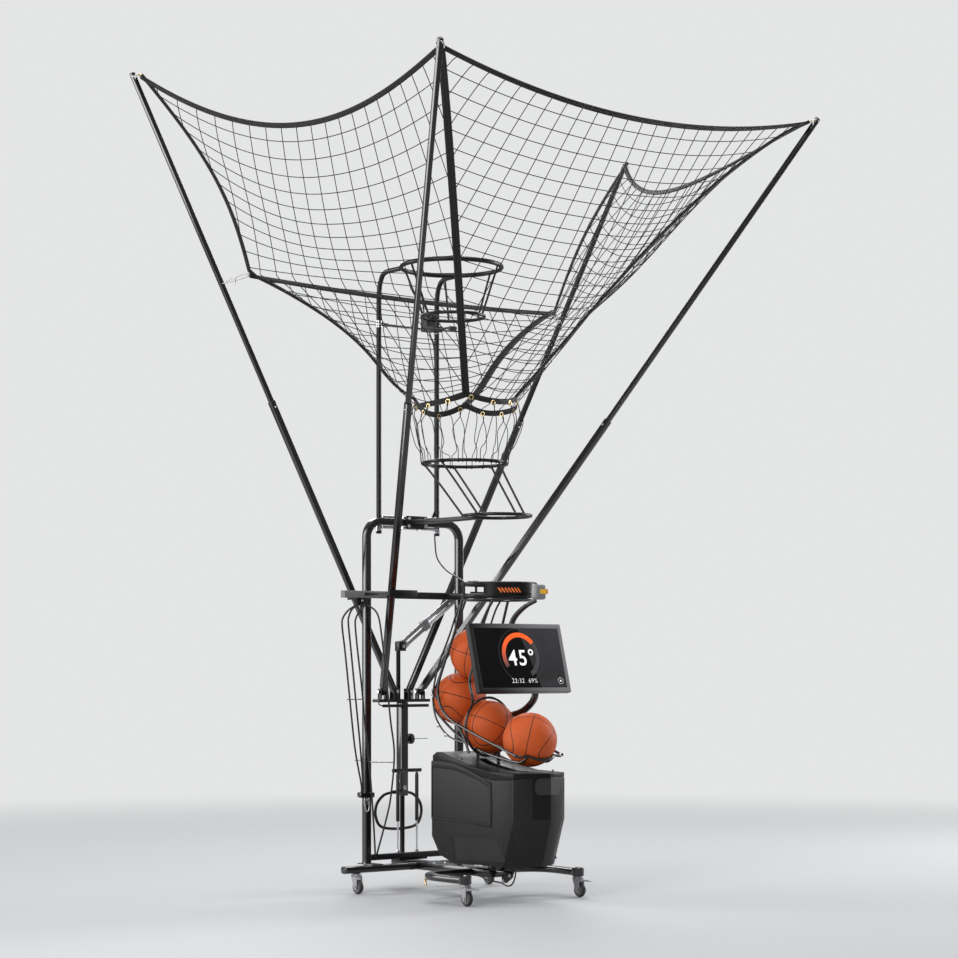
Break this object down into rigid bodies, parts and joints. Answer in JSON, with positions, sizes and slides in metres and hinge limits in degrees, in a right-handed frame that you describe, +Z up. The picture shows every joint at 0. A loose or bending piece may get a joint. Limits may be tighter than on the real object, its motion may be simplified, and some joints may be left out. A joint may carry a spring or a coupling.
{
  "type": "basketball shooting machine",
  "caption": "Wheeled basketball return machine: folding net and make ring over a funnel, ball chute, tilting touch screen and swivelling launcher.",
  "frame": {"origin": "on the floor under the centre of the bounding box", "axes": "+Z up, -Y towards the court (the way the launcher throws), +X to the right seen from the court"},
  "size_m": [2.9218, 1.7326, 3.6417],
  "materials": {
    "gloss_black": "gloss powder coat",
    "satin_black": "satin powder coat",
    "bright_steel": "zinc plated",
    "black_plastic": "moulded",
    "grey_plastic": "moulded",
    "net_cloth": "knotted net with webbing",
    "wheel_rubber": "matte",
    "ball_rubber": "pebbled",
    "screen_glass": "dark display glass"
  },
  "bodies": {
    "base": {"rear_cross_tube": "gloss_black", "base_spine": "gloss_black", "front_leg_tube": "gloss_black", "tie_bar_and_post": "satin_black", "upright_frame": "gloss_black", "make_ring_frame": "satin_black", "sensor_box": "black_plastic", "funnel_frame": "satin_black", "left_gas_rod": "bright_steel", "right_gas_rod": "bright_steel", "side_wires": "satin_black", "sensor_cable": "black_plastic"},
    "mast": {"mast_tube": "satin_black", "hub_and_stay": "satin_black", "crossbar": "satin_black", "fold_brace": "bright_steel", "left_gas_cylinder": "black_plastic", "right_gas_cylinder": "black_plastic", "foot_loop": "satin_black", "net_collar": "net_cloth", "net_front": "net_cloth", "net_rear": "net_cloth", "net_left": "net_cloth", "net_right": "net_cloth", "lacing_cord": "net_cloth"},
    "launcher": {"housing_shell": "satin_black", "front_cover": "gloss_black", "top_cover": "gloss_black", "basket_loop": "satin_black", "tip_housing": "grey_plastic", "chute_rails": "gloss_black"},
    "screen": {"screen_housing": "grey_plastic", "screen_glass": "screen_glass"},
    "button": {"screen_button": "grey_plastic"},
    "arm": {"launch_arm": "bright_steel"},
    "paddle": {"sensor_paddle": "black_plastic"},
    "knob": {"lock_knob": "black_plastic"},
    "release": {"release_bar": "satin_black"},
    "front_left_swivel": {"front_left_caster_fork": "satin_black"},
    "front_left_wheel": {"front_left_caster_wheel": "wheel_rubber"},
    "front_right_swivel": {"front_right_caster_fork": "satin_black"},
    "front_right_wheel": {"front_right_caster_wheel": "wheel_rubber"},
    "rear_left_swivel": {"rear_left_caster_fork": "satin_black"},
    "rear_left_wheel": {"rear_left_caster_wheel": "wheel_rubber"},
    "rear_right_swivel": {"rear_right_caster_fork": "satin_black"},
    "rear_right_wheel": {"rear_right_caster_wheel": "wheel_rubber"},
    "left_brake": {"left_brake_lever": "bright_steel"},
    "right_brake": {"right_brake_lever": "bright_steel"},
    "front_left_pole": {"front_left_pole_lower": "gloss_black", "front_left_pole_upper": "gloss_black"},
    "front_right_pole": {"front_right_pole_lower": "gloss_black", "front_right_pole_upper": "gloss_black"},
    "rear_left_pole": {"rear_left_pole_lower": "gloss_black", "rear_left_pole_upper": "gloss_black"},
    "rear_right_pole": {"rear_right_pole_lower": "gloss_black", "rear_right_pole_upper": "gloss_black"},
    "ball_1": {"ball_1": "ball_rubber"},
    "ball_2": {"ball_2": "ball_rubber"},
    "ball_3": {"ball_3": "ball_rubber"},
    "ball_4": {"ball_4": "ball_rubber"}
  },
  "joints": [
    {"name": "front_left_caster_swivel", "type": "hinge", "parent": "base", "child": "front_left_swivel", "pos_m": [-0.325, -0.07131, 0.0945], "axis": [0, 0, 1], "continuous": true},
    {"name": "front_left_wheel_roll", "type": "hinge", "parent": "front_left_swivel", "child": "front_left_wheel", "pos_m": [-0.325, -0.08531, 0.033], "axis": [1, 0, 0], "continuous": true},
    {"name": "front_right_caster_swivel", "type": "hinge", "parent": "base", "child": "front_right_swivel", "pos_m": [0.325, -0.07131, 0.0945], "axis": [0, 0, 1], "continuous": true},
    {"name": "front_right_wheel_roll", "type": "hinge", "parent": "front_right_swivel", "child": "front_right_wheel", "pos_m": [0.325, -0.08531, 0.033], "axis": [1, 0, 0], "continuous": true},
    {"name": "rear_left_caster_swivel", "type": "hinge", "parent": "base", "child": "rear_left_swivel", "pos_m": [-0.385, 0.66169, 0.0945], "axis": [0, 0, 1], "continuous": true},
    {"name": "rear_left_wheel_roll", "type": "hinge", "parent": "rear_left_swivel", "child": "rear_left_wheel", "pos_m": [-0.385, 0.64769, 0.033], "axis": [1, 0, 0], "continuous": true},
    {"name": "rear_right_caster_swivel", "type": "hinge", "parent": "base", "child": "rear_right_swivel", "pos_m": [0.385, 0.66169, 0.0945], "axis": [0, 0, 1], "continuous": true},
    {"name": "rear_right_wheel_roll", "type": "hinge", "parent": "rear_right_swivel", "child": "rear_right_wheel", "pos_m": [0.385, 0.64769, 0.033], "axis": [1, 0, 0], "continuous": true},
    {"name": "left_brake_tilt", "type": "hinge", "parent": "front_left_swivel", "child": "left_brake", "pos_m": [-0.325, -0.09981, 0.0765], "axis": [1, 0, 0], "range_deg": [0, 18]},
    {"name": "right_brake_tilt", "type": "hinge", "parent": "front_right_swivel", "child": "right_brake", "pos_m": [0.325, -0.09981, 0.0765], "axis": [1, 0, 0], "range_deg": [0, 18]},
    {"name": "mast_slide", "type": "slide", "parent": "base", "child": "mast", "axis": [0, 0, 1], "range_m": [-0.08, 0], "deforming": ["lacing_cord", "side_wires"]},
    {"name": "lock_pull", "type": "slide", "parent": "mast", "child": "knob", "axis": [1, 0, 0], "range_m": [0, 0.008], "stiffness_N_per_m": 1500},
    {"name": "release_squeeze", "type": "slide", "parent": "mast", "child": "release", "axis": [0, 0, 1], "range_m": [0, 0.008], "stiffness_N_per_m": 2000},
    {"name": "front_left_pole_fold", "type": "hinge", "parent": "mast", "child": "front_left_pole", "pos_m": [-0.11, 0.83269, 0.925], "axis": [-1, 0, 0], "range_deg": [0, 10], "deforming": ["net_front"]},
    {"name": "front_right_pole_fold", "type": "hinge", "parent": "mast", "child": "front_right_pole", "pos_m": [0.11, 0.83269, 0.925], "axis": [-1, 0, 0], "range_deg": [0, 10], "deforming": ["net_right"]},
    {"name": "rear_left_pole_fold", "type": "hinge", "parent": "mast", "child": "rear_left_pole", "pos_m": [-0.042, 0.83269, 0.925], "axis": [0, 1, 0], "range_deg": [0, 18], "deforming": ["net_left"]},
    {"name": "rear_right_pole_fold", "type": "hinge", "parent": "mast", "child": "rear_right_pole", "pos_m": [0.042, 0.83269, 0.925], "axis": [0, -1, 0], "range_deg": [0, 18], "deforming": ["net_rear"]},
    {"name": "paddle_flick", "type": "hinge", "parent": "base", "child": "paddle", "pos_m": [0, 0.56269, 2.616], "axis": [1, 0, 0], "range_deg": [0, 25], "stiffness_Nm_per_rad": 0.25, "springref_deg": -34.38},
    {"name": "launcher_pan", "type": "hinge", "parent": "base", "child": "launcher", "pos_m": [0, 0.10669, 0.16], "axis": [0, 0, 1], "range_deg": [-30, 30], "deforming": ["sensor_cable"]},
    {"name": "launch_arm_swing", "type": "hinge", "parent": "launcher", "child": "arm", "pos_m": [0, 0.26669, 0.365], "axis": [1, 0, 0], "range_deg": [0, 30], "stiffness_Nm_per_rad": 20, "springref_deg": -28.65},
    {"name": "screen_tilt", "type": "hinge", "parent": "launcher", "child": "screen", "pos_m": [0, 0.08069, 1.07], "axis": [1, 0, 0], "range_deg": [-8, 8]},
    {"name": "button_press", "type": "slide", "parent": "screen", "child": "button", "axis": [0, 0.9659, -0.2588], "range_m": [0, 0.0015], "stiffness_N_per_m": 600},
    {"name": "ball_1_roll", "type": "hinge", "parent": "launcher", "child": "ball_1", "pos_m": [0, 0.25869, 1.1048], "axis": [1, 0, 0], "continuous": true},
    {"name": "ball_2_roll", "type": "hinge", "parent": "launcher", "child": "ball_2", "pos_m": [0, 0.37969, 0.896], "axis": [1, 0, 0], "continuous": true},
    {"name": "ball_3_roll", "type": "hinge", "parent": "launcher", "child": "ball_3", "pos_m": [0, 0.16869, 0.77], "axis": [1, 0, 0], "continuous": true},
    {"name": "ball_4_roll", "type": "hinge", "parent": "launcher", "child": "ball_4", "pos_m": [0, -0.12231, 0.72], "axis": [1, 0, 0], "continuous": true}
  ]
}
